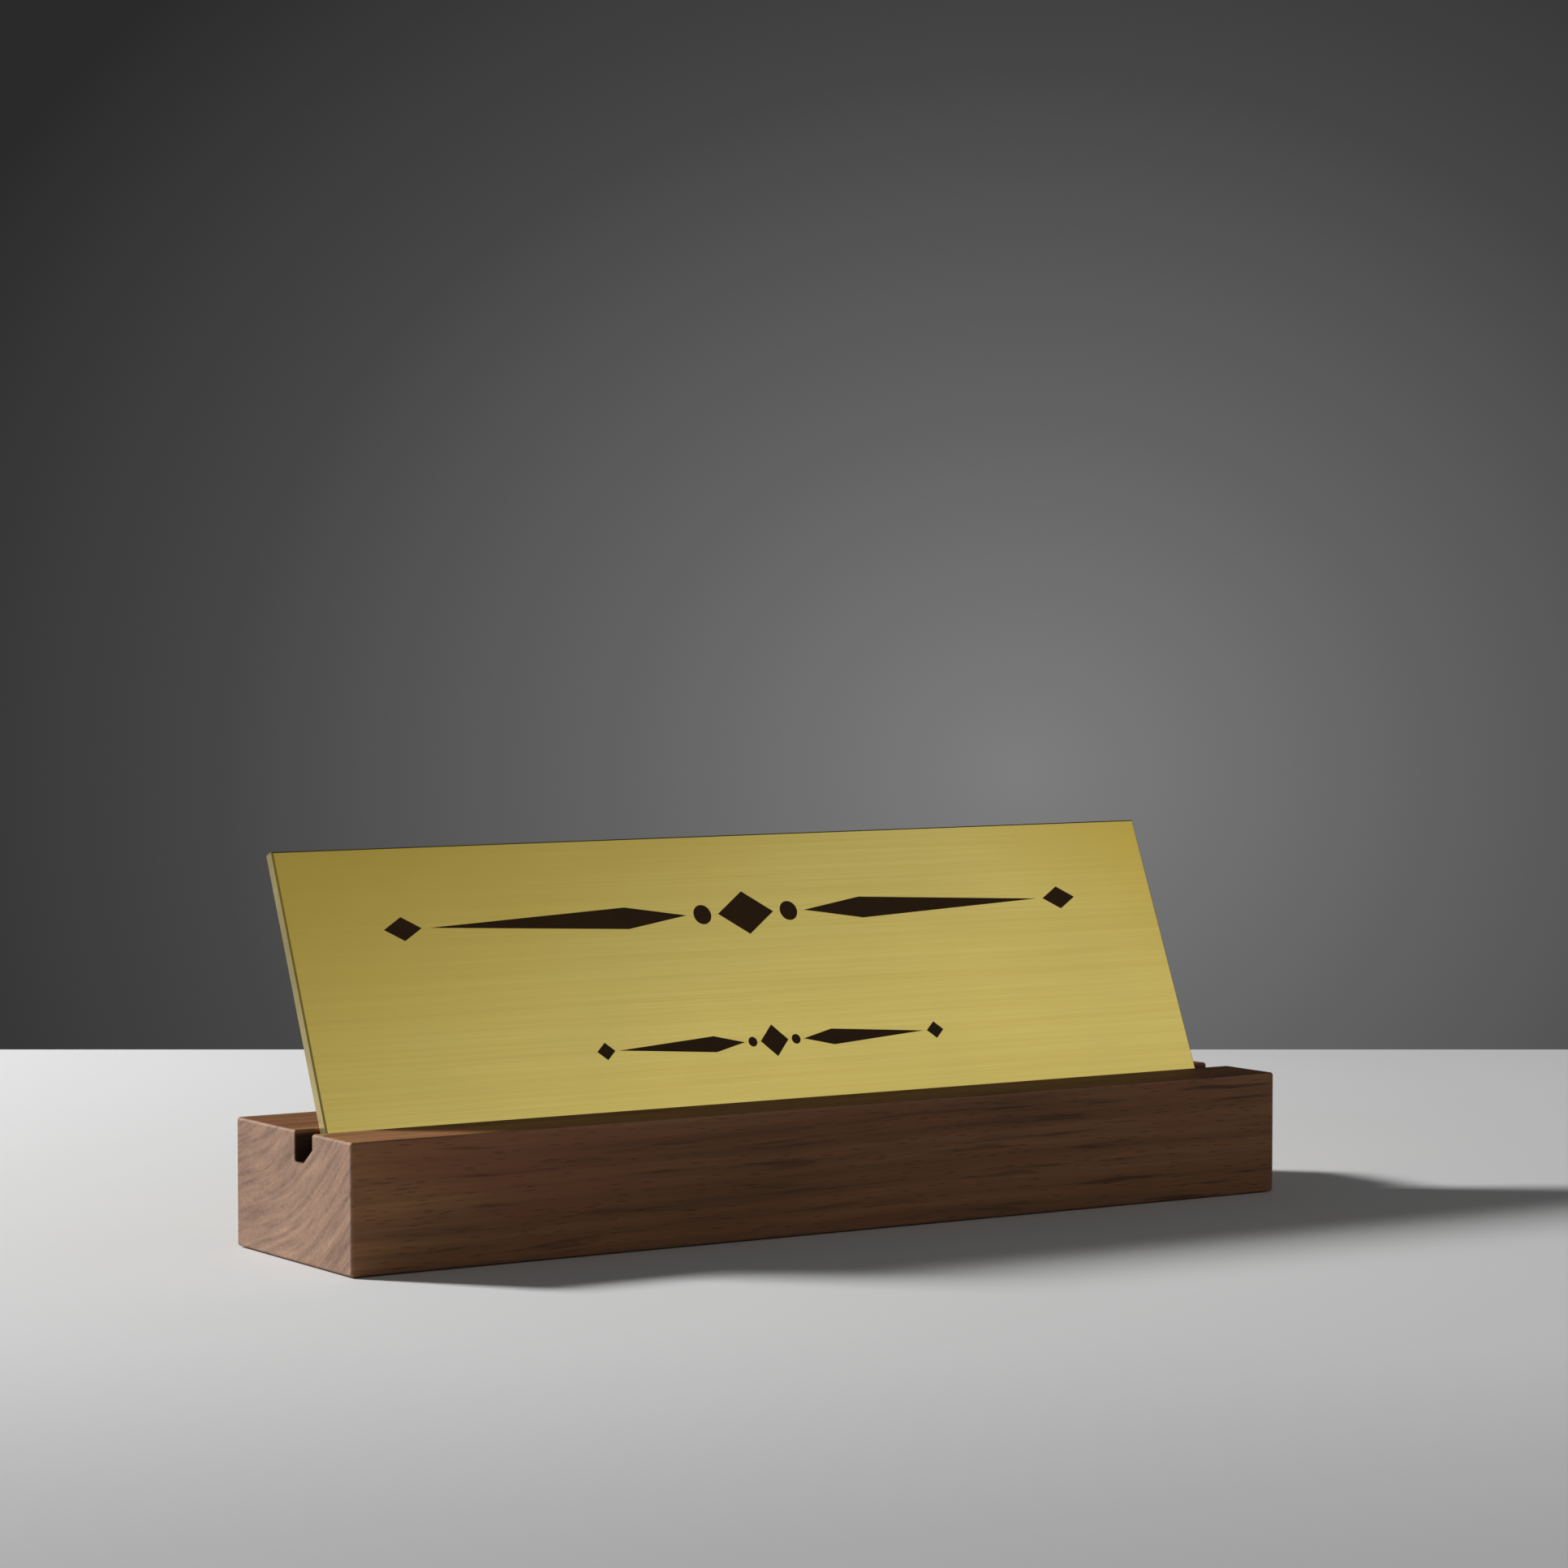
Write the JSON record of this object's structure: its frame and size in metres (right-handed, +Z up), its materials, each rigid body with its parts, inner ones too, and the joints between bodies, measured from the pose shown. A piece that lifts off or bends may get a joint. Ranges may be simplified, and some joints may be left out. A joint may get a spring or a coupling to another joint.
{
  "type": "desk name plate",
  "caption": "Desk name plate: a flat brass plate with engraved, dark-filled ornament leans back in the long groove of a walnut block and lifts out of it.",
  "frame": {"origin": "on the table under the middle of the block", "axes": "+X along the block to the reader's right, +Y to the back, +Z up"},
  "size_m": [0.254, 0.056, 0.0894],
  "materials": {
    "walnut": "oiled, open grain",
    "brass": "fine brushed satin",
    "enamel": "dark brown enamel, semi-matt",
    "felt": "pressed felt"
  },
  "bodies": {
    "base": {"wooden_base": "walnut", "front_left_pad": "felt", "front_right_pad": "felt", "back_left_pad": "felt", "back_right_pad": "felt"},
    "plate": {"name_plate": "brass", "upper_enamel": "enamel", "lower_enamel": "enamel"}
  },
  "joints": [
    {"name": "plate_lift", "type": "slide", "parent": "base", "child": "plate", "axis": [0, 0.3987, 0.9171], "range_m": [0, 0.012]}
  ]
}
